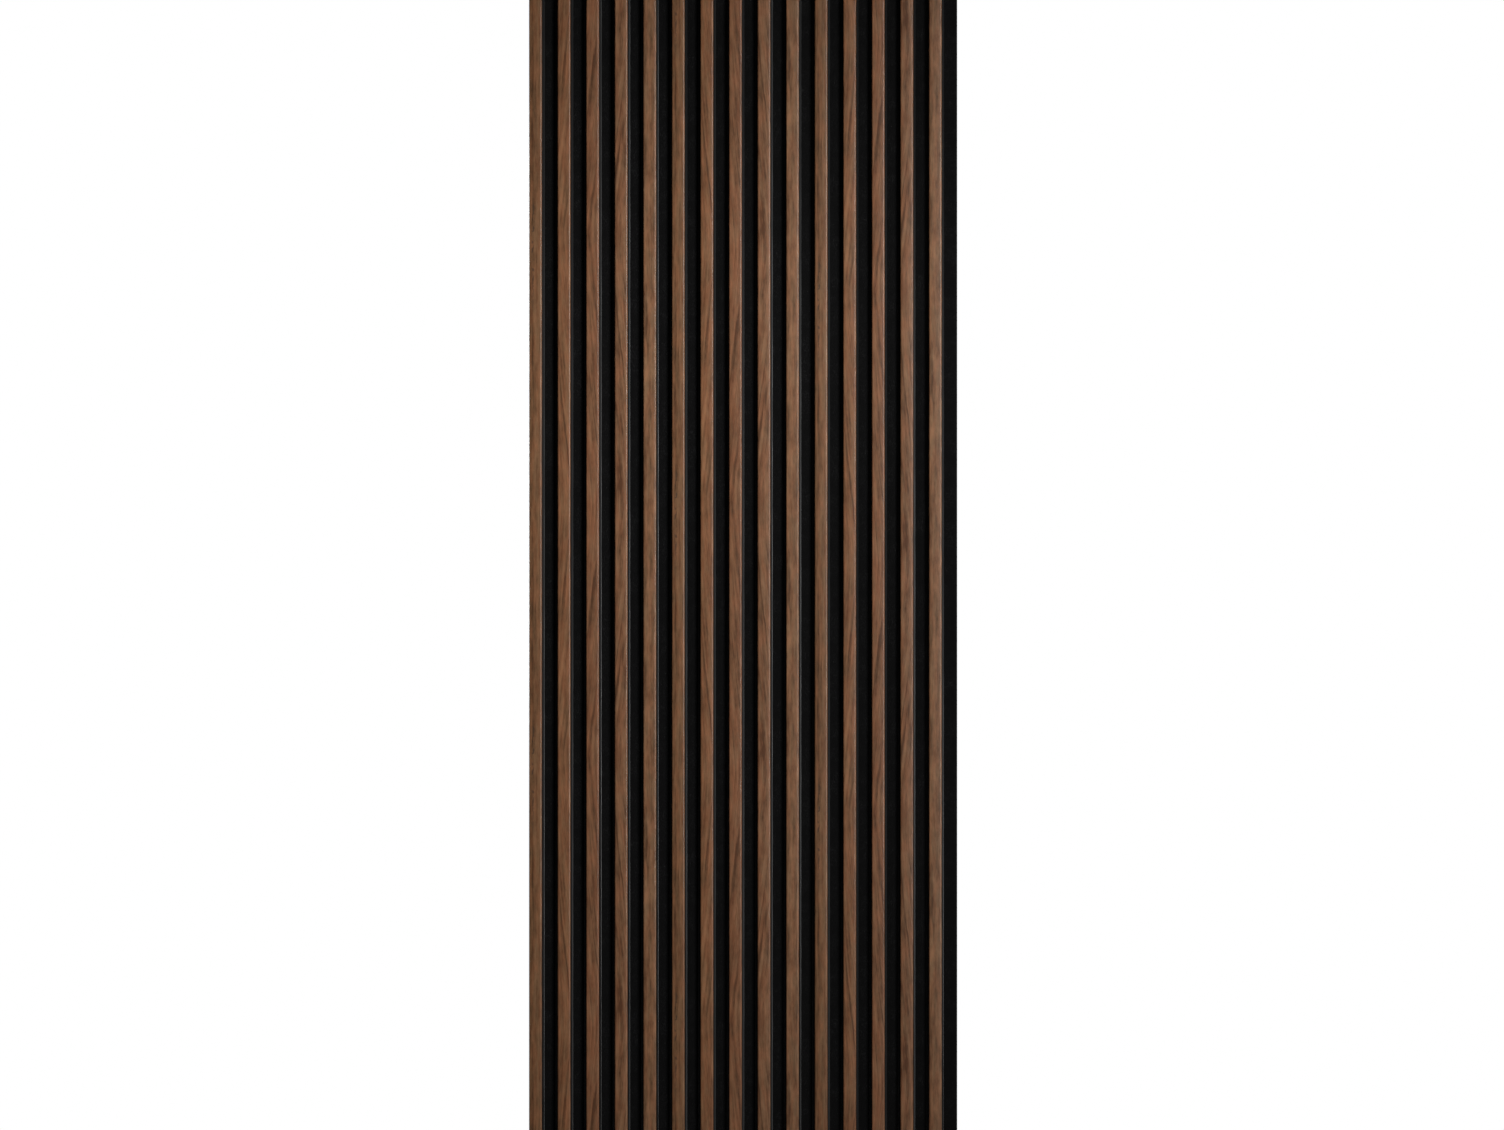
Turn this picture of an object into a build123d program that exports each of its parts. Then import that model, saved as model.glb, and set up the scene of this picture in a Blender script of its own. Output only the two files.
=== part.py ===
from build123d import *
import os

# Slat wall panel: black felt board, fibreboard slats with a turned-down decor face,
# two adhesive lines under each slat and staples driven in from the back.
# Millimetres. Z runs up along the slats, X to the right seen from the room, and the
# room is on the -Y side. The origin is the middle of the back, which lies on the wall.

# Panel
PANEL_LENGTH = 2400.0
SLAT_COUNT = 15
SLAT_WIDTH = 18.0
SLAT_GAP = 22.0
SLAT_DEPTH = 11.8
FELT_THICKNESS = 9.0

# Decor face, turned down over the eased front corners of the core
FACE_THICKNESS = 0.6
CORNER_RADIUS = 2.0
FACE_TURN_DOWN = 1.0

# Adhesive line along each edge of a slat, squeezed out into a low bead beside it
GLUE_FILM = 0.2
GLUE_LAP = 3.0
BEAD_WIDTH = 3.6
BEAD_HEIGHT = 0.9
BEAD_HEIGHT_AT_SLAT = 0.6

# Staple: crown across the slat, legs through the felt into the core
STAPLE_CROWN = 10.0
STAPLE_WIRE_WIDTH = 1.2
STAPLE_WIRE_THICKNESS = 0.6
STAPLE_SINK = 0.2
STAPLE_BITE = 5.0
STAPLE_POINT = 1.0
STAPLE_CLEARANCE = 0.05
STAPLE_ROWS = 5
STAPLE_END_MARGIN = 60.0

# Places worked out from the sizes above
SLAT_PITCH = SLAT_WIDTH + SLAT_GAP
PANEL_WIDTH = SLAT_COUNT * SLAT_PITCH
FIRST_SLAT_X = (SLAT_WIDTH - PANEL_WIDTH) / 2
FELT_FRONT_Y = -FELT_THICKNESS
SLAT_BACK_Y = FELT_FRONT_Y - GLUE_FILM
SLAT_FRONT_Y = SLAT_BACK_Y - SLAT_DEPTH
FACE_END_Y = SLAT_FRONT_Y + CORNER_RADIUS + FACE_TURN_DOWN
STAPLE_BACK_Y = -STAPLE_SINK
STAPLE_LEG = FELT_THICKNESS - STAPLE_SINK + GLUE_FILM + STAPLE_BITE
STAPLE_TIP_Y = STAPLE_BACK_Y - STAPLE_LEG

slat_places = [FIRST_SLAT_X + index * SLAT_PITCH for index in range(SLAT_COUNT)]
row_spacing = (PANEL_LENGTH - 2 * STAPLE_END_MARGIN) / (STAPLE_ROWS - 1)
row_heights = [STAPLE_END_MARGIN - PANEL_LENGTH / 2 + row * row_spacing for row in range(STAPLE_ROWS)]


def along_panel(section):
    """Run a section, drawn in X and Y, over the whole length of the panel."""
    return extrude(Plane.XY.offset(-PANEL_LENGTH / 2) * section, amount=PANEL_LENGTH)


def slat_outline(inset=0.0):
    """Slat section about x = 0: square at the back, rounded at the two front corners."""
    with BuildSketch() as outline:
        with BuildLine():
            half = SLAT_WIDTH / 2 - inset
            front = SLAT_FRONT_Y + inset
            Polyline((-half, front), (-half, SLAT_BACK_Y), (half, SLAT_BACK_Y), (half, front), close=True)
        make_face()
        front_corners = outline.vertices().sort_by(Axis.Y)[:2]
        fillet(front_corners, radius=CORNER_RADIUS - inset)
    return outline.sketch


def face_section():
    """Decor face: the skin between the slat's outline and the same outline set inwards."""
    front_part = Pos(0, FACE_END_Y) * Rectangle(
        SLAT_WIDTH, SLAT_DEPTH, align=(Align.CENTER, Align.MAX)
    )
    return (slat_outline() - slat_outline(inset=FACE_THICKNESS)) & front_part


def core_section():
    """Core: what the decor face leaves of the slat, with a shoulder where the face ends."""
    return slat_outline() - face_section()


def glue_film_section():
    """Adhesive pressed flat under the right edge of a slat."""
    return Pos(SLAT_WIDTH / 2, FELT_FRONT_Y) * Rectangle(
        GLUE_LAP, GLUE_FILM, align=(Align.MAX, Align.MAX)
    )


def glue_bead_section():
    """Bead of adhesive on the felt, against the right side of a slat."""
    edge = SLAT_WIDTH / 2
    foot = (edge + BEAD_WIDTH, FELT_FRONT_Y)
    crest = (edge + BEAD_WIDTH / 2, FELT_FRONT_Y - BEAD_HEIGHT)
    at_slat = (edge, FELT_FRONT_Y - BEAD_HEIGHT_AT_SLAT)
    with BuildSketch() as section:
        with BuildLine():
            ThreePointArc(foot, crest, at_slat)
            Polyline(at_slat, (edge, FELT_FRONT_Y), foot)
        make_face()
    return section.sketch


def staple():
    """One staple about x = 0 and z = 0, its legs cut to a slant at the tips."""
    outer = STAPLE_CROWN / 2
    inner = outer - STAPLE_WIRE_THICKNESS
    under_crown = STAPLE_BACK_Y - STAPLE_WIRE_THICKNESS
    slant_start = STAPLE_TIP_Y + STAPLE_POINT
    with BuildSketch() as side:
        with BuildLine():
            Polyline(
                (-outer, STAPLE_BACK_Y),
                (outer, STAPLE_BACK_Y),
                (outer, STAPLE_TIP_Y),
                (inner, slant_start),
                (inner, under_crown),
                (-inner, under_crown),
                (-inner, slant_start),
                (-outer, STAPLE_TIP_Y),
                close=True,
            )
        make_face()
    return extrude(side.sketch, amount=STAPLE_WIRE_WIDTH / 2, both=True)


def crown_seat():
    """Space that a staple's crown takes in the felt, open to the wall side."""
    depth = STAPLE_SINK + STAPLE_WIRE_THICKNESS + STAPLE_CLEARANCE
    return Box(
        STAPLE_CROWN + 2 * STAPLE_CLEARANCE,
        depth,
        STAPLE_WIRE_WIDTH + 2 * STAPLE_CLEARANCE,
        align=(Align.CENTER, Align.MAX, Align.CENTER),
    )


def leg_holes():
    """Two holes that a staple's legs make, from the wall side to just past their tips."""
    hole = Box(
        STAPLE_WIRE_THICKNESS + 2 * STAPLE_CLEARANCE,
        -STAPLE_TIP_Y + STAPLE_CLEARANCE,
        STAPLE_WIRE_WIDTH + 2 * STAPLE_CLEARANCE,
        align=(Align.CENTER, Align.MAX, Align.CENTER),
    )
    leg_middle = (STAPLE_CROWN - STAPLE_WIRE_THICKNESS) / 2
    return [Pos(X=-leg_middle) * hole, Pos(X=leg_middle) * hole]


def felt_backing():
    board = Box(
        PANEL_WIDTH, FELT_THICKNESS, PANEL_LENGTH, align=(Align.CENTER, Align.MAX, Align.CENTER)
    )
    staple_space = [crown_seat()] + leg_holes()
    cuts = [Pos(x, 0, z) * space for x in slat_places for z in row_heights for space in staple_space]
    return board - cuts


def slat_core():
    cuts = [Pos(0, 0, z) * hole for z in row_heights for hole in leg_holes()]
    return along_panel(core_section()) - cuts


def glue_lines():
    """Two lines under each slat. The one on the panel's left edge is wiped flush, with no bead."""
    right_line = along_panel(glue_film_section() + glue_bead_section())
    left_line = mirror(right_line, about=Plane.YZ)
    flush_line = mirror(along_panel(glue_film_section()), about=Plane.YZ)
    left_lines = [Pos(X=slat_places[0]) * flush_line]
    left_lines += [Pos(X=x) * left_line for x in slat_places[1:]]
    right_lines = [Pos(X=x) * right_line for x in slat_places]
    return Compound(left_lines + right_lines)


def back_staples():
    one = staple()
    return Compound([Pos(x, 0, z) * one for x in slat_places for z in row_heights])


def save(shape, name):
    export_step(shape, f"parts/{name}.step")


os.makedirs("parts", exist_ok=True)
save(felt_backing(), "felt_backing")
save(glue_lines(), "glue_lines")
save(back_staples(), "back_staples")
core = slat_core()
face = along_panel(face_section())
for number, x in enumerate(slat_places, start=1):
    save(Pos(X=x) * core, f"slat_core_{number:02d}")
    save(Pos(X=x) * face, f"slat_face_{number:02d}")
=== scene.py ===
import math

import bmesh
import bpy
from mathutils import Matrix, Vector


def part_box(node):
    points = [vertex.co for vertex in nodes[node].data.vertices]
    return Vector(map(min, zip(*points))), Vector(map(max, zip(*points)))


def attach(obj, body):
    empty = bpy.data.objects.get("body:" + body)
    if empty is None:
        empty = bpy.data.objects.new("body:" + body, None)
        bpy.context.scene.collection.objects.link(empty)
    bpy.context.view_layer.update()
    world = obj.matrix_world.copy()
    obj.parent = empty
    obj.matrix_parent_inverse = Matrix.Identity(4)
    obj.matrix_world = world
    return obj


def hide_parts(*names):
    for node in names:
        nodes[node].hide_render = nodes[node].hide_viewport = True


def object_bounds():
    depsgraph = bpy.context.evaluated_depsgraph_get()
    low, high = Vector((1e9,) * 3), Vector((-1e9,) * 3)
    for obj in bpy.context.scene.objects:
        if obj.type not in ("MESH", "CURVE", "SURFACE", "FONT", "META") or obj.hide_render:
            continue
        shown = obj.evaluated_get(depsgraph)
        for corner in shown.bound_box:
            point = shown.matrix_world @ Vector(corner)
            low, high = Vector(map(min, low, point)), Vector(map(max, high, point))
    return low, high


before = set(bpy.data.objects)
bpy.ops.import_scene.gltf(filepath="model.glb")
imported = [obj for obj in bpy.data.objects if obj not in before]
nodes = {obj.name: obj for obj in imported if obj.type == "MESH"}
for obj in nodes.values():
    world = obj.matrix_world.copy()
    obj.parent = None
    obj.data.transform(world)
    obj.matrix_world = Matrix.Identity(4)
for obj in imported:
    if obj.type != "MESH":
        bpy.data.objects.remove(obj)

cad_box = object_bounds()


# Felt board
# One 9 mm board of black polyester felt, needled and hot-pressed, with its edges cut square.
# It carries the slats, shows in the grooves and as a strip at the right, and lies on the wall.

FELT_BLACK = (0.0026, 0.0026, 0.0027, 1.0)
FELT_GREY_FIBRE = (0.0230, 0.0230, 0.0238, 1.0)
FELT_FIBRE_LENGTH = 0.004
FELT_FIBRE_WIDTH = FELT_FIBRE_LENGTH / 14
FELT_CLUMP = 0.018
FELT_RELIEF = 0.0007
FELT_LINT = 0.05
LINT_COLOUR = (0.10, 0.098, 0.094, 1.0)
LINT_BEND = 0.006
# How each of the two layers of threads is turned, and how fine it is along X, Y and Z.
LINT_LAYERS = ((0.6, (900.0, 900.0, 110.0)), (-0.9, (110.0, 900.0, 900.0)))


def plug(tree, socket, value):
    """Link a socket to another node's output, or give it a plain value."""
    if isinstance(value, bpy.types.NodeSocket):
        tree.links.new(value, socket)
    else:
        socket.default_value = value


def add(tree, kind, *values, **settings):
    """Add a shader node, set it up and plug its first sockets in order. None leaves one as it is."""
    node = tree.nodes.new("ShaderNode" + kind)
    for name, setting in settings.items():
        setattr(node, name, setting)
    for socket, value in zip(node.inputs, values):
        if value is not None:
            plug(tree, socket, value)
    return node


def calc(tree, operation, *values):
    """One math node's result."""
    return add(tree, "Math", *values, operation=operation).outputs[0]


def mix_colour(tree, blend_type, share, first, second):
    """Second colour laid over the first by a share from 0 to 1."""
    node = add(tree, "Mix", data_type="RGBA", blend_type=blend_type)
    plug(tree, node.inputs["Factor"], share)
    plug(tree, node.inputs[6], first)
    plug(tree, node.inputs[7], second)
    return node.outputs[2]


def noise(tree, place, sizes, detail=2.0, roughness=0.5):
    """Noise with features of these sizes in metres along X, Y and Z; its middle value is 0.5."""
    stretch = add(tree, "Mapping", place, vector_type="POINT")
    stretch.inputs["Scale"].default_value = [1.0 / size for size in sizes]
    node = add(tree, "TexNoise", stretch.outputs[0])
    node.inputs["Scale"].default_value = 1.0
    node.inputs["Detail"].default_value = detail
    node.inputs["Roughness"].default_value = roughness
    return node.outputs[0]


def spread(tree, value, low, high, to_low=0.0, to_high=1.0):
    """Spread the stretch from low to high smoothly over to_low to to_high."""
    node = add(tree, "MapRange", value, low, high, to_low, to_high, interpolation_type="SMOOTHSTEP")
    return node.outputs[0]


def bump(tree, height, distance):
    """Normal of a relief whose full height is this distance in metres."""
    node = add(tree, "Bump")
    node.inputs["Strength"].default_value = 1.0
    node.inputs["Distance"].default_value = distance
    plug(tree, node.inputs["Height"], height)
    return node.outputs[0]


def new_material(name, roughness, specular=0.5):
    """Empty material with a Principled shader; gives the material, its tree and the shader."""
    material = bpy.data.materials.new(name)
    material.use_nodes = True
    tree = material.node_tree
    shader = tree.nodes["Principled BSDF"]
    shader.inputs["Roughness"].default_value = roughness
    shader.inputs["Specular IOR Level"].default_value = specular
    return material, tree, shader


def new_group(name, inputs, outputs):
    """Node group with these sockets; gives the group, its input outlets and its output sockets."""
    group = bpy.data.node_groups.new(name, "ShaderNodeTree")
    for label, kind in inputs:
        group.interface.new_socket(label, in_out="INPUT", socket_type="NodeSocket" + kind)
    for label, kind in outputs:
        group.interface.new_socket(label, in_out="OUTPUT", socket_type="NodeSocket" + kind)
    inside = group.nodes.new("NodeGroupInput").outputs
    outside = group.nodes.new("NodeGroupOutput").inputs
    return group, inside, outside


def place_group(tree, group, *values):
    """Use a node group in a tree with its own values."""
    node = tree.nodes.new("ShaderNodeGroup")
    node.node_tree = group
    for socket, value in zip(node.inputs, values):
        plug(tree, socket, value)
    return node.outputs


def lint_group():
    """Stray pale fibres that cling to dark felt and board: short thin bent threads."""
    group, given, result = new_group(
        "lint", [("Place", "Vector"), ("Amount", "Float")], [("Mask", "Float")]
    )
    bend = add(group, "TexNoise", given["Place"])
    bend.inputs["Scale"].default_value = 120.0
    shift = add(group, "VectorMath", bend.outputs["Color"], (LINT_BEND,) * 3, operation="MULTIPLY")
    bent = add(group, "VectorMath", given["Place"], shift.outputs[0], operation="ADD")
    threads = []
    for turn, stretch in LINT_LAYERS:
        mapping = add(group, "Mapping", bent.outputs[0])
        mapping.inputs["Rotation"].default_value = (0.0, turn, 0.0)
        mapping.inputs["Scale"].default_value = stretch
        cells = add(group, "TexVoronoi", mapping.outputs[0], feature="F1")
        cells.inputs["Scale"].default_value = 0.35
        threads.append(calc(group, "SUBTRACT", given["Amount"], cells.outputs["Distance"]))
    nearest = calc(group, "MAXIMUM", *threads)
    plug(group, result["Mask"], spread(group, nearest, 0.0, 0.06))
    return group


lint = lint_group()


def felt_material():
    material, tree, shader = new_material("black_felt", roughness=0.95, specular=0.12)
    place = add(tree, "TexCoord").outputs["Object"]
    clumps = noise(tree, place, (FELT_CLUMP,) * 3, detail=3.0, roughness=0.6)
    lying = noise(tree, place, (FELT_FIBRE_LENGTH, FELT_FIBRE_WIDTH, FELT_FIBRE_WIDTH), detail=2.0)
    upright = noise(tree, place, (FELT_FIBRE_WIDTH, FELT_FIBRE_WIDTH, FELT_FIBRE_LENGTH), detail=2.0)
    tangle = calc(tree, "MAXIMUM", lying, upright)
    fibre_mask = spread(tree, tangle, 0.58, 0.76)
    clump_mask = spread(tree, clumps, 0.35, 0.75)
    grey = calc(tree, "MULTIPLY", fibre_mask, clump_mask)
    colour = mix_colour(tree, "MIX", grey, FELT_BLACK, FELT_GREY_FIBRE)
    stray = place_group(tree, lint, place, FELT_LINT)["Mask"]
    plug(tree, shader.inputs["Base Color"], mix_colour(tree, "MIX", stray, colour, LINT_COLOUR))
    plug(tree, shader.inputs["Normal"], bump(tree, calc(tree, "ADD", tangle, clumps), FELT_RELIEF))
    shader.inputs["Sheen Weight"].default_value = 0.01
    shader.inputs["Sheen Roughness"].default_value = 0.5
    return material


def dress(piece, material):
    """Give a piece this one material."""
    piece.data.materials.clear()
    piece.data.materials.append(material)


dress(nodes["felt_backing"], felt_material())


# Slat cores
# Fifteen bars of black-dyed fibreboard, sawn to width, with a shoulder on each side where the
# decor face ends. They are glued and stapled to the felt; only their sides and ends are bare.

BOARD_BLACK = (0.0105, 0.0100, 0.0095, 1.0)
BOARD_BROWN_FIBRE = (0.034, 0.029, 0.024, 1.0)
BOARD_FIBRE = 0.0012
SAW_MARK = 0.0016
BOARD_RELIEF = 0.00012
BOARD_LINT = 0.03


def board_material():
    material, tree, shader = new_material("black_fibreboard", roughness=0.62, specular=0.3)
    place = add(tree, "TexCoord").outputs["Object"]
    fleck = noise(tree, place, (BOARD_FIBRE, BOARD_FIBRE, BOARD_FIBRE * 3), detail=3.0, roughness=0.65)
    marks = noise(tree, place, (SAW_MARK, SAW_MARK / 6, SAW_MARK * 60), detail=2.0)
    colour = mix_colour(tree, "MIX", spread(tree, fleck, 0.50, 0.78), BOARD_BLACK, BOARD_BROWN_FIBRE)
    stray = place_group(tree, lint, place, BOARD_LINT)["Mask"]
    plug(tree, shader.inputs["Base Color"], mix_colour(tree, "MIX", stray, colour, LINT_COLOUR))
    plug(tree, shader.inputs["Roughness"], spread(tree, marks, 0.3, 0.7, 0.52, 0.74))
    plug(tree, shader.inputs["Normal"], bump(tree, calc(tree, "ADD", fleck, marks), BOARD_RELIEF))
    return material


fibreboard = board_material()
core_names = sorted(name for name in nodes if name.startswith("slat_core_"))
for name in core_names:
    dress(nodes[name], fibreboard)


# Decor faces
# Walnut-look decor skins, 0.6 mm thick, hot-glued over the front of each core and turned down
# over its eased corners. They are slit from one printed sheet of five lanes, with a satin lacquer.

SLAT_WIDTH = 0.018
FACE_THICKNESS = 0.0006
CORNER_RADIUS = 0.0020
FACE_TURN_DOWN = 0.0010
CORNER_STEPS = 8
FACE_LENGTHS = 16
LANES = 5
LANE_PITCH = 0.024
PRINT_REPEAT = 0.731
PRINT_TOP = 0.791
SET_STARTS = (0.0, 0.358, 0.650)


def face_mesh(name, low, high):
    """Skin over the front of one slat: a flat strip, its sides turned back, bevelled and thickened."""
    bm = bmesh.new()
    corners = [(low.x, high.z), (high.x, high.z), (high.x, low.z), (low.x, low.z)]
    front = bm.faces.new([bm.verts.new((x, low.y, z)) for x, z in corners])
    sides = [edge for edge in front.edges if abs(edge.verts[0].co.x - edge.verts[1].co.x) < 1e-6]
    turned = bmesh.ops.extrude_edge_only(bm, edges=sides)["geom"]
    moved = [item for item in turned if isinstance(item, bmesh.types.BMVert)]
    bmesh.ops.translate(bm, verts=moved, vec=(0, CORNER_RADIUS + FACE_TURN_DOWN, 0))
    bmesh.ops.bevel(
        bm, geom=sides, offset=CORNER_RADIUS, segments=CORNER_STEPS, profile=0.5,
        affect="EDGES", material=-1,
    )
    bmesh.ops.recalc_face_normals(bm, faces=bm.faces)
    if sum(face.normal.y for face in bm.faces) > 0:
        bmesh.ops.reverse_faces(bm, faces=bm.faces)
    for step in range(1, FACE_LENGTHS):
        height = low.z + (high.z - low.z) * step / FACE_LENGTHS
        geom = bm.verts[:] + bm.edges[:] + bm.faces[:]
        bmesh.ops.bisect_plane(bm, geom=geom, plane_co=(0, 0, height), plane_no=(0, 0, 1))
    bmesh.ops.solidify(bm, geom=bm.faces[:], thickness=FACE_THICKNESS)
    mesh = bpy.data.meshes.new(name)
    bm.to_mesh(mesh)
    bm.free()
    return mesh


def unrolled(across, back, half):
    """Distance from a slat's middle round its front, at a point this far back from the front."""
    flat = half - CORNER_RADIUS
    side = math.copysign(1.0, across)
    if abs(across) <= flat:
        return across
    if back < CORNER_RADIUS:
        turn = math.atan2(abs(across) - flat, CORNER_RADIUS - back)
        return side * (flat + CORNER_RADIUS * turn)
    return side * (flat + CORNER_RADIUS * math.pi / 2 + back - CORNER_RADIUS)


def lay_on_sheet(mesh, low, high, place):
    """Say where this slat's skin lay on the printed sheet, in metres across and down."""
    middle = (low.x + high.x) / 2
    half = (high.x - low.x) / 2
    lane_middle = (place % LANES + 0.5) * LANE_PITCH
    sheet = mesh.uv_layers.new(name="decor_sheet")
    for loop in mesh.loops:
        point = mesh.vertices[loop.vertex_index].co
        across = unrolled(point.x - middle, point.y - low.y, half)
        down = PRINT_TOP - point.z + SET_STARTS[place // LANES]
        sheet.data[loop.index].uv = (lane_middle + across, down)


# Long darker and lighter lines of the wood figure: lane, place across the slat and down the
# sheet of their middle in millimetres, lean, half length, half width, and how dark they are.
FIGURE_LINES = (
    (1, 5.0, 170.0, 0.000, 170.0, 1.6, 0.36),
    (1, 4.8, 470.0, 0.010, 150.0, 1.4, 0.32),
    (1, 9.5, 150.0, 0.008, 66.0, 0.8, 0.18),
    (1, 13.5, 400.0, 0.000, 120.0, 2.2, -0.10),
    (2, 9.5, 88.0, -0.077, 58.0, 1.9, 0.42),
    (2, 12.0, 110.0, -0.077, 50.0, 1.1, -0.16),
    (2, 9.0, 585.0, 0.103, 66.0, 1.1, 0.55),
    (2, 12.5, 600.0, 0.103, 50.0, 1.4, -0.16),
    (2, 14.0, 330.0, 0.020, 90.0, 1.6, 0.20),
    (3, 10.8, 84.0, -0.103, 50.0, 2.0, 0.36),
    (3, 9.9, 270.0, -0.099, 58.0, 2.0, 0.30),
    (3, 9.9, 392.0, 0.080, 66.0, 2.0, 0.32),
    (3, 10.3, 574.0, 0.118, 56.0, 1.1, 0.48),
    (3, 13.0, 590.0, 0.118, 46.0, 1.2, -0.14),
    (4, 8.1, 150.0, -0.138, 56.0, 1.1, 0.44),
    (4, 7.5, 205.0, -0.150, 45.0, 2.0, 0.34),
    (4, 9.5, 176.0, -0.145, 42.0, 1.2, -0.30),
    (4, 8.1, 478.0, 0.106, 70.0, 1.2, 0.50),
    (4, 11.0, 494.0, 0.106, 56.0, 1.4, -0.28),
    (4, 9.0, 665.0, 0.040, 40.0, 8.0, 0.20),
    (5, 2.5, 212.0, 0.020, 20.0, 3.6, 0.34),
    (5, 2.5, 448.0, -0.020, 22.0, 3.6, 0.34),
    (5, 2.5, 658.0, 0.020, 22.0, 3.6, 0.30),
    (5, 10.0, 300.0, 0.030, 60.0, 1.2, 0.26),
    (5, 9.0, 150.0, 0.000, 26.0, 8.0, -0.12),
    (5, 10.0, 540.0, 0.000, 32.0, 8.0, -0.10),
)
# The figure bows sideways once in each repeat, by this much, and turns back at this height.
FIGURE_SWING = 0.0195
FIGURE_APEX = 0.336
# Sizes of the wood's marks on the sheet in metres, across the grain and along it.
WAVE_SIZE = (0.009, 0.05, 0.05)
WAVE_REACH = 0.004
FIGURE_SIZE = (0.0045, 0.085, 0.085)
FIBRE_SIZE = (0.0020, 0.036, 0.036)
MOTTLE_SIZE = (0.009, 0.032, 0.032)
TICK_SIZE = (0.0016, 0.0075, 0.0075)
WARMTH_SIZE = (0.007, 0.034, 0.034)
PORE_SIZE = (0.00022, 0.005, 0.005)
FLECK_SIZE = (0.0035, 0.006, 0.006)
# How strongly they show, and the tints that the lane's own colour is multiplied by.
FIBRE_STRENGTH = 0.9
TICK_STRENGTH = 0.45
PORE_STRENGTH = 0.45
FLECK_STRENGTH = 0.75
DARK_TINT = (0.46, 0.43, 0.41, 1.0)
EVEN_TINT = (1.0, 1.0, 1.0, 1.0)
PALE_TINT = (1.46, 1.52, 1.56, 1.0)
OLIVE_TINT = (0.935, 1.020, 1.045, 1.0)
RED_TINT = (1.060, 0.980, 0.955, 1.0)
PORE_TINT = (0.45, 0.4, 0.38, 1.0)
FLECK_COLOUR = (0.035, 0.024, 0.018, 1.0)
DECOR_RELIEF = 0.00003
# The row of dark flecks in the first lane: place across from its middle and down the sheet, lean,
# half length, half width and depth.
FLECK_ROW = (-0.0032, 0.345, 0.0, 0.075, 0.0016, 1.0)


def figure_line_group():
    """One soft line on the sheet, leaning as it goes down and fading at both ends."""
    group, given, result = new_group(
        "figure_line",
        [(label, "Float") for label in (
            "Across", "Down", "Middle Across", "Middle Down",
            "Lean", "Half Length", "Half Width", "Depth",
        )],
        [("Shade", "Float")],
    )
    below = calc(group, "SUBTRACT", given["Down"], given["Middle Down"])
    line = calc(group, "MULTIPLY_ADD", below, given["Lean"], given["Middle Across"])
    beside = calc(group, "DIVIDE", calc(group, "SUBTRACT", given["Across"], line), given["Half Width"])
    along = calc(group, "DIVIDE", below, given["Half Length"])
    fade = calc(group, "ADD", calc(group, "POWER", beside, 2.0), calc(group, "POWER", along, 4.0))
    peak = calc(group, "EXPONENT", calc(group, "MULTIPLY", fade, -1.0))
    plug(group, result["Shade"], calc(group, "MULTIPLY", peak, given["Depth"]))
    return group


def lane_values(tree, lane, values):
    """A value or a colour for each lane of the sheet."""
    ramp = add(tree, "ValToRGB", calc(tree, "DIVIDE", calc(tree, "ADD", lane, 0.5), LANES))
    ramp.color_ramp.interpolation = "CONSTANT"
    stops = ramp.color_ramp.elements
    while len(stops) < LANES:
        stops.new(0.5)
    for index, value in enumerate(values):
        stops[index].position = index / LANES
        stops[index].color = value if isinstance(value, tuple) else (value, value, value, 1.0)
    return ramp.outputs[0]


# For each lane: its colour, how strong its figure and its mottling are, and how far it bows.
LANE_COLOURS = (
    (0.1810, 0.0845, 0.0389, 1.0),
    (0.2024, 0.0906, 0.0420, 1.0),
    (0.1980, 0.0873, 0.0418, 1.0),
    (0.2040, 0.0952, 0.0466, 1.0),
    (0.2005, 0.0973, 0.0478, 1.0),
)
FIGURE_STRENGTH = (0.8, 1.45, 1.45, 1.5, 1.0)
MOTTLE_STRENGTH = (1.1, 1.0, 1.0, 1.2, 1.6)
BOW_STRENGTH = (0.0, 0.9, 1.0, 1.0, 0.2)


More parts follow.
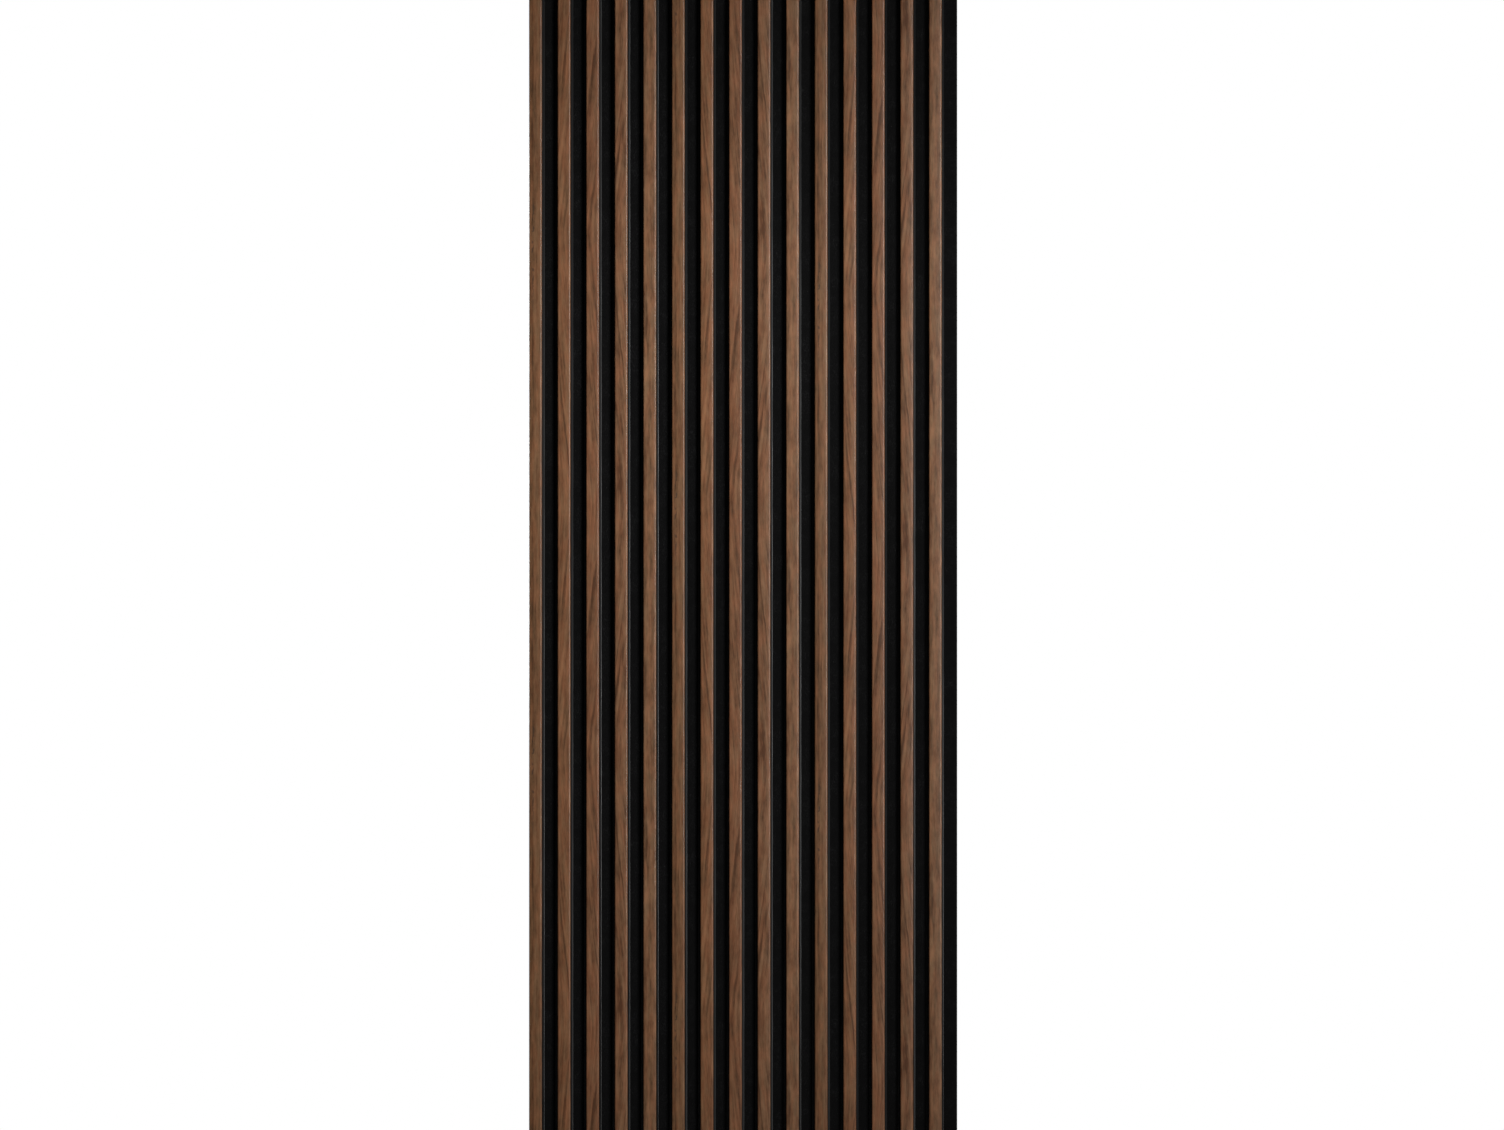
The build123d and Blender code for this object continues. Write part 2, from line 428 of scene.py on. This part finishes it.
def decor_material():
    material, tree, shader = new_material("walnut_decor", roughness=0.33, specular=0.25)
    shader.inputs["Coat Weight"].default_value = 0.13
    shader.inputs["Coat Roughness"].default_value = 0.14
    sheet = add(tree, "UVMap", uv_map="decor_sheet").outputs[0]
    sheet_place = add(tree, "SeparateXYZ", sheet)
    across, down = sheet_place.outputs[0], sheet_place.outputs[1]
    lane = calc(tree, "FLOOR", calc(tree, "DIVIDE", across, LANE_PITCH))
    turn = calc(tree, "MULTIPLY", down, 2 * math.pi / PRINT_REPEAT)
    drum = PRINT_REPEAT / (2 * math.pi)
    around = [
        calc(tree, "MULTIPLY", calc(tree, "COSINE", turn), drum),
        calc(tree, "MULTIPLY", calc(tree, "SINE", turn), drum),
    ]
    straight = add(tree, "CombineXYZ", across, *around).outputs[0]
    apex_turn = calc(tree, "SUBTRACT", turn, 2 * math.pi * FIGURE_APEX / PRINT_REPEAT)
    swing = calc(tree, "ARCSINE", calc(tree, "MULTIPLY", calc(tree, "COSINE", apex_turn), 0.97))
    swing = calc(tree, "MULTIPLY", swing, FIGURE_SWING * 2 / math.pi)
    swing = calc(tree, "MULTIPLY", swing, lane_values(tree, lane, BOW_STRENGTH))
    bowed = add(tree, "CombineXYZ", calc(tree, "ADD", across, swing), *around).outputs[0]

    wave = noise(tree, straight, WAVE_SIZE, detail=1.0)
    wavy_across = calc(tree, "MULTIPLY_ADD", calc(tree, "SUBTRACT", wave, 0.5), WAVE_REACH, across)
    wrapped = calc(tree, "WRAP", down, PRINT_REPEAT, 0.0)
    line = figure_line_group()
    shade = 0.0
    for lane_number, middle, height, lean, half_length, half_width, depth in FIGURE_LINES:
        slat_left = (lane_number - 0.5) * LANE_PITCH - SLAT_WIDTH / 2
        one = place_group(
            tree, line, wavy_across, wrapped, slat_left + middle / 1000, height / 1000, lean,
            half_length / 1000, half_width / 1000, depth,
        )["Shade"]
        shade = calc(tree, "ADD", one, shade)

    figure = noise(tree, bowed, FIGURE_SIZE, detail=2.0, roughness=0.55)
    fibre = noise(tree, bowed, FIBRE_SIZE, detail=3.0, roughness=0.6)
    mottle = noise(tree, straight, MOTTLE_SIZE, detail=3.0, roughness=0.65)
    ticks = noise(tree, bowed, TICK_SIZE, detail=2.0, roughness=0.6)
    tone = 0.0
    for marks, strength in (
        (figure, lane_values(tree, lane, FIGURE_STRENGTH)),
        (mottle, lane_values(tree, lane, MOTTLE_STRENGTH)),
        (fibre, FIBRE_STRENGTH),
        (ticks, TICK_STRENGTH),
    ):
        tone = calc(tree, "MULTIPLY_ADD", calc(tree, "SUBTRACT", marks, 0.5), strength, tone)
    tone = calc(tree, "SUBTRACT", tone, shade)
    tint = add(tree, "ValToRGB", calc(tree, "ADD", tone, 0.5))
    stops = tint.color_ramp.elements
    stops[0].position = 0.0
    stops[0].color = DARK_TINT
    stops[1].position = 1.0
    stops[1].color = PALE_TINT
    stops.new(0.5).color = EVEN_TINT
    base = lane_values(tree, lane, LANE_COLOURS)
    colour = mix_colour(tree, "MULTIPLY", 1.0, base, tint.outputs[0])
    warmth = spread(tree, noise(tree, straight, WARMTH_SIZE, detail=3.0, roughness=0.65), 0.34, 0.66)
    red_or_olive = mix_colour(tree, "MIX", warmth, OLIVE_TINT, RED_TINT)
    colour = mix_colour(tree, "MULTIPLY", 1.0, colour, red_or_olive)

    pore_mask = spread(tree, noise(tree, straight, PORE_SIZE, detail=1.0), 0.62, 0.72)
    pore_share = calc(tree, "MULTIPLY", pore_mask, PORE_STRENGTH)
    colour = mix_colour(tree, "MULTIPLY", pore_share, colour, PORE_TINT)
    flecks = spread(tree, noise(tree, straight, FLECK_SIZE, detail=1.0), 0.48, 0.62)
    in_first_lane = calc(tree, "COMPARE", lane, 0.0, 0.5)
    fleck_row = place_group(
        tree, line, wavy_across, wrapped, LANE_PITCH / 2 + FLECK_ROW[0], *FLECK_ROW[1:],
    )["Shade"]
    fleck_mask = calc(tree, "MULTIPLY", calc(tree, "MULTIPLY", flecks, fleck_row), in_first_lane)
    fleck_share = calc(tree, "MULTIPLY", fleck_mask, FLECK_STRENGTH)
    colour = mix_colour(tree, "MIX", fleck_share, colour, FLECK_COLOUR)
    plug(tree, shader.inputs["Base Color"], colour)
    plug(tree, shader.inputs["Roughness"], spread(tree, fibre, 0.3, 0.7, 0.30, 0.37))
    relief = calc(tree, "SUBTRACT", fibre, calc(tree, "MULTIPLY", pore_mask, 0.5))
    plug(tree, shader.inputs["Normal"], bump(tree, relief, DECOR_RELIEF))
    return material


decor = decor_material()
for place, name in enumerate(sorted(name for name in nodes if name.startswith("slat_face_"))):
    low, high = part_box(name)
    mesh = face_mesh(name + "_skin", low, high)
    lay_on_sheet(mesh, low, high, place)
    for polygon in mesh.polygons:
        polygon.use_smooth = True
    skin = bpy.data.objects.new(name + "_skin", mesh)
    bpy.context.scene.collection.objects.link(skin)
    skin.modifiers.new("crisp edges", "EDGE_SPLIT").split_angle = math.radians(40)
    dress(skin, decor)
    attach(skin, "root")
    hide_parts(name)


# Adhesive lines
# Black hot-melt, run in two lines under each slat. Pressed flat under it, it comes out beside it
# as a low glossy bead on the felt. The bead on the panel's left edge is wiped off.

ADHESIVE_BLACK = (0.003, 0.003, 0.003, 1.0)
GLUE_LAP = 0.0030
GLUE_FILM = 0.0002
BEAD_REACH = 0.0036
BEAD_CREST = 0.0009
BEAD_MIDDLE = 0.62
BEAD_SIDES = 36
BEAD_LENGTHS = 200
BEAD_RELIEF = 0.0001
MERGE = 0.000002
# How full and glossy each bead is at the slat's right: high, half-way and low on the panel.
RIGHT_BEADS = (
    (0.05, 0.40, 0.80), (0.05, 0.25, 0.60), (0.35, 0.65, 1.00), (0.55, 0.75, 0.75), (0.55, 0.75, 0.90),
    (0.00, 0.35, 0.65), (0.05, 0.20, 0.30), (0.05, 0.40, 0.45), (0.35, 0.75, 0.60), (0.15, 0.70, 0.85),
    (0.05, 0.10, 0.25), (0.00, 0.00, 0.05), (0.00, 0.05, 0.05), (0.00, 0.60, 0.80), (0.05, 0.30, 1.00),
)
LEFT_BEAD = (0.30, 0.30, 0.30)
# This far above and below the middle, the high and the low value are reached.
FULLNESS_REACH = 0.6
# Share, radians per metre and shift of the two slow swells along a bead.
SWELLS = ((0.12, 47.0, 1.0), (0.06, 131.0, 2.3))


def film(bm, low, high):
    """Box of adhesive pressed flat between these corners."""
    made = bmesh.ops.create_cube(bm, size=1.0)["verts"]
    bmesh.ops.scale(bm, verts=made, vec=high - low)
    bmesh.ops.translate(bm, verts=made, vec=(high + low) / 2)


def bead(bm, edge, side, felt, ends, fullness, phase):
    """Bead on the felt against a slat's side: part of an ellipse, swelling a little along the slat."""
    one = bmesh.new()
    bmesh.ops.create_circle(one, cap_ends=True, radius=1.0, segments=BEAD_SIDES)
    bmesh.ops.scale(one, verts=one.verts, vec=(BEAD_REACH * (1 - BEAD_MIDDLE), BEAD_CREST, 1.0))
    inner = [vert for vert in one.verts if vert.co.x < 0]
    bmesh.ops.scale(one, verts=inner, vec=(BEAD_MIDDLE / (1 - BEAD_MIDDLE) * 1.25, 1.0, 1.0))
    bmesh.ops.translate(one, verts=one.verts, vec=(BEAD_REACH * BEAD_MIDDLE, 0, ends[0]))
    for normal in ((0, 1, 0), (-1, 0, 0)):
        geom = one.verts[:] + one.edges[:] + one.faces[:]
        bmesh.ops.bisect_plane(
            one, geom=geom, dist=MERGE, plane_co=(0, 0, 0), plane_no=normal, clear_outer=True,
        )
    bmesh.ops.remove_doubles(one, verts=one.verts, dist=MERGE)
    bmesh.ops.contextual_create(one, geom=[edge for edge in one.edges if edge.is_boundary])
    run = bmesh.ops.extrude_face_region(one, geom=one.faces[:])["geom"]
    moved = [item for item in run if isinstance(item, bmesh.types.BMVert)]
    bmesh.ops.translate(one, verts=moved, vec=(0, 0, ends[1] - ends[0]))
    for step in range(1, BEAD_LENGTHS):
        height = ends[0] + (ends[1] - ends[0]) * step / BEAD_LENGTHS
        geom = one.verts[:] + one.edges[:] + one.faces[:]
        bmesh.ops.bisect_plane(one, geom=geom, dist=MERGE, plane_co=(0, 0, height), plane_no=(0, 0, 1))
    shine = one.verts.layers.float.new("gloss")
    for vert in one.verts:
        away = min(1.0, abs(vert.co.z) / FULLNESS_REACH)
        full = fullness[1] + (fullness[0 if vert.co.z > 0 else 2] - fullness[1]) * away
        swell = sum(share * math.sin(vert.co.z * pace + shift * phase) for share, pace, shift in SWELLS)
        vert[shine] = min(1.0, max(0.0, full * (1 + 1.2 * swell)))
        vert.co.y *= min(1.0, (0.45 + 0.45 * full) * (1 + swell))
        vert.co.x *= min(1.0, 0.97 + 0.16 * swell)
        vert.co.x = edge + side * vert.co.x
        vert.co.y += felt
    mesh = bpy.data.meshes.new("bead")
    one.to_mesh(mesh)
    one.free()
    bm.from_mesh(mesh)
    bpy.data.meshes.remove(mesh)


def adhesive_mesh(name, core_low, core_high, fullness, phase):
    """Both lines under one slat: left and right film, and the beads that have not been wiped off."""
    bm = bmesh.new()
    bm.verts.layers.float.new("gloss")
    felt = core_high.y + GLUE_FILM
    ends = (core_low.z, core_high.z)
    for left in (core_low.x, core_high.x - GLUE_LAP):
        film(bm, Vector((left, core_high.y, ends[0])), Vector((left + GLUE_LAP, felt, ends[1])))
    bead(bm, core_high.x, 1, felt, ends, fullness, phase)
    if core_low.x > cad_box[0].x + BEAD_REACH:
        bead(bm, core_low.x, -1, felt, ends, LEFT_BEAD, phase + 2.0)
    bmesh.ops.recalc_face_normals(bm, faces=bm.faces)
    mesh = bpy.data.meshes.new(name)
    bm.to_mesh(mesh)
    bm.free()
    return mesh


def adhesive_material():
    material, tree, shader = new_material("black_hot_melt", roughness=0.4, specular=0.42)
    place = add(tree, "TexCoord").outputs["Object"]
    gloss = add(tree, "Attribute", attribute_name="gloss").outputs["Fac"]
    swell = noise(tree, place, (0.008, 0.008, 0.040), detail=1.0)
    patches = noise(tree, place, (0.012, 0.012, 0.080), detail=1.0)
    shine = calc(tree, "MULTIPLY", gloss, spread(tree, patches, 0.35, 0.65, 0.8, 1.0))
    rough = add(tree, "MapRange", calc(tree, "POWER", shine, 0.7), 0.0, 1.0, 0.95, 0.30)
    plug(tree, shader.inputs["Roughness"], rough.outputs[0])
    shader.inputs["Base Color"].default_value = ADHESIVE_BLACK
    plug(tree, shader.inputs["Normal"], bump(tree, swell, BEAD_RELIEF))
    return material


hot_melt = adhesive_material()
for place, (name, fullness) in enumerate(zip(core_names, RIGHT_BEADS)):
    low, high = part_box(name)
    mesh = adhesive_mesh(name.replace("slat_core", "adhesive_line"), low, high, fullness, 1.7 * place)
    for polygon in mesh.polygons:
        polygon.use_smooth = True
    line = bpy.data.objects.new(mesh.name, mesh)
    bpy.context.scene.collection.objects.link(line)
    line.modifiers.new("crisp edges", "EDGE_SPLIT").split_angle = math.radians(40)
    dress(line, hot_melt)
    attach(line, "root")
    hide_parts("glue_lines")


# Back staples
# Galvanised wire staples, shot through the felt into each slat. Their crowns lie across the
# slats, pulled just below the felt's back.

WIRE_GREY = (0.56, 0.56, 0.57, 1.0)
WIRE_DULL_GREY = (0.36, 0.36, 0.38, 1.0)


def wire_material():
    material, tree, shader = new_material("galvanised_wire", roughness=0.32)
    place = add(tree, "TexCoord").outputs["Object"]
    scratches = noise(tree, place, (0.004, 0.0004, 0.0002), detail=2.0)
    dull = spread(tree, scratches, 0.35, 0.65)
    plug(tree, shader.inputs["Base Color"], mix_colour(tree, "MIX", dull, WIRE_GREY, WIRE_DULL_GREY))
    plug(tree, shader.inputs["Roughness"], spread(tree, scratches, 0.3, 0.7, 0.24, 0.44))
    shader.inputs["Metallic"].default_value = 1.0
    return material


dress(nodes["back_staples"], wire_material())


# Floor, lamps and camera
# A pale floor disc under the panel, a tall soft lamp and a wide soft spot from the right front as
# the photograph shows, a soft lamp for the back, and a long lens looking straight at the middle.

FLOOR_RADIUS = 1.9
FLOOR_PALE = (0.80, 0.80, 0.79, 1.0)
FLOOR_GLOW = 0.35
KEY_PLACE = (1.44, -2.41, 0.26)
SPOT_PLACE = (1.44, -2.41, 0.76)
BACK_PLACE = (-1.9, 2.1, 0.3)
ROOM_LIGHT = 0.03
PIXEL = 0.0014
PICTURE_WIDTH = 1504
PICTURE_MIDDLE_X = 0.0122
CAMERA_DISTANCE = 5.9
SENSOR = 36.0


def floor_disc(height):
    """Floor that the camera sees paler than the lamps make it, and that lights nothing."""
    bm = bmesh.new()
    bmesh.ops.create_circle(bm, cap_ends=True, radius=FLOOR_RADIUS, segments=96)
    bmesh.ops.translate(bm, verts=bm.verts, vec=(0, 0, height))
    mesh = bpy.data.meshes.new("floor")
    bm.to_mesh(mesh)
    bm.free()
    disc = bpy.data.objects.new("floor", mesh)
    bpy.context.scene.collection.objects.link(disc)
    disc.visible_diffuse = False
    material, tree, shader = new_material("pale_floor", roughness=0.8, specular=0.1)
    shader.inputs["Base Color"].default_value = FLOOR_PALE
    shader.inputs["Emission Color"].default_value = FLOOR_PALE
    seen = add(tree, "LightPath").outputs["Is Camera Ray"]
    plug(tree, shader.inputs["Emission Strength"], calc(tree, "MULTIPLY", seen, FLOOR_GLOW))
    material.cycles.emission_sampling = "NONE"
    dress(disc, material)


def soft_lamp(name, place, aim, size, power, beam):
    """Rectangular lamp of this width and height, with its beam's angle in degrees."""
    data = bpy.data.lights.new(name, "AREA")
    data.shape = "RECTANGLE"
    data.size, data.size_y = size
    data.energy = power
    data.spread = math.radians(beam)
    lamp = bpy.data.objects.new(name, data)
    lamp.location = place
    lamp.rotation_mode = "QUATERNION"
    lamp.rotation_quaternion = (Vector(aim) - Vector(place)).to_track_quat("-Z", "Y")
    bpy.context.scene.collection.objects.link(lamp)


def wide_spot(name, place, aim, radius, power, beam):
    """Spot lamp with a soft beam, twice as wide as it is high."""
    data = bpy.data.lights.new(name, "SPOT")
    data.shadow_soft_size = radius
    data.energy = power
    data.spot_size = math.radians(beam)
    data.spot_blend = 1.0
    lamp = bpy.data.objects.new(name, data)
    lamp.location = place
    lamp.rotation_mode = "QUATERNION"
    lamp.rotation_quaternion = (Vector(aim) - Vector(place)).to_track_quat("-Z", "Y")
    lamp.scale = (2.0, 1.0, 1.0)
    bpy.context.scene.collection.objects.link(lamp)


def white_world():
    """White for the camera and for low reflections in what faces back; nearly dark for the rest."""
    world = bpy.data.worlds.new("studio")
    bpy.context.scene.world = world
    world.use_nodes = True
    tree = world.node_tree
    tree.nodes.clear()
    path = add(tree, "LightPath")
    direction = add(tree, "SeparateXYZ", add(tree, "TexCoord").outputs["Generated"])
    behind = calc(tree, "GREATER_THAN", direction.outputs[1], 0.0)
    low = calc(tree, "LESS_THAN", direction.outputs[2], 0.0)
    behind_and_low = calc(tree, "MULTIPLY", behind, low)
    seen_in_gloss = calc(tree, "MULTIPLY", path.outputs["Is Glossy Ray"], behind_and_low)
    seen = calc(tree, "MAXIMUM", path.outputs["Is Camera Ray"], seen_in_gloss)
    seen = calc(tree, "MAXIMUM", seen, path.outputs["Is Transmission Ray"])
    strength = calc(tree, "MAXIMUM", seen, ROOM_LIGHT)
    light = add(tree, "Background", (1.0, 1.0, 1.0, 1.0), strength)
    tree.links.new(light.outputs[0], add(tree, "OutputWorld").inputs["Surface"])


floor_disc(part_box("felt_backing")[0].z)
soft_lamp("key", KEY_PLACE, aim=(-0.43, 0.0, 0.07), size=(0.96, 2.0), power=15.6, beam=70.0)
wide_spot("key_centre", SPOT_PLACE, aim=(-0.05, 0.0, 0.35), radius=0.22, power=65.0, beam=15.0)
soft_lamp("back", BACK_PLACE, aim=(0.0, 0.0, 0.0), size=(1.2, 1.2), power=50.0, beam=150.0)
white_world()

camera_data = bpy.data.cameras.new("camera")
camera_data.sensor_width = SENSOR
camera_data.lens = SENSOR * CAMERA_DISTANCE / (PICTURE_WIDTH * PIXEL)
camera = bpy.data.objects.new("camera", camera_data)
camera.location = (PICTURE_MIDDLE_X, cad_box[0].y - CAMERA_DISTANCE, 0.0)
camera.rotation_euler = (math.radians(90), 0.0, 0.0)
bpy.context.scene.collection.objects.link(camera)
bpy.context.scene.camera = camera
bpy.context.scene.view_settings.view_transform = "Standard"
